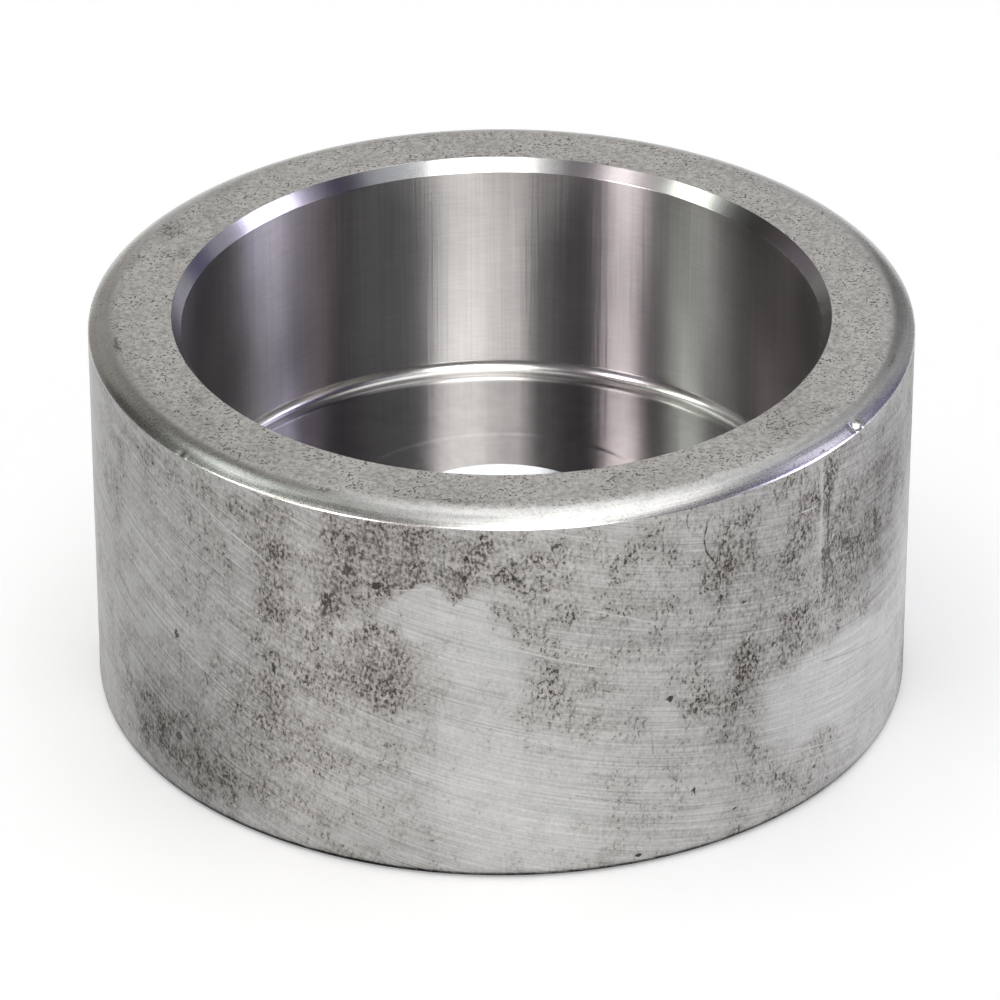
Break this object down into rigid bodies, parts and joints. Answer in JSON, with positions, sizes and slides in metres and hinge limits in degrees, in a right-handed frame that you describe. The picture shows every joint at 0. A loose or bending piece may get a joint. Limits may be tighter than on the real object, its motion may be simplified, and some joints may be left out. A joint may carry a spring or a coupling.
{
  "type": "socket weld cap",
  "caption": "Round forged steel cap with a blind turned socket, welded over the end of a pipe to close it.",
  "frame": {"origin": "centre of the closed end's flat outer face, which the cap stands on", "axes": "+Z along the cap's axis, from the closed end towards the socket's mouth; X and Y are equal by symmetry"},
  "size_m": [0.063, 0.063, 0.031],
  "materials": {
    "forged_steel": "bare forged steel, turned bright in the socket and dull, scratched and stained outside"
  },
  "bodies": {
    "root": {"cap_body": "forged_steel"}
  },
  "joints": []
}
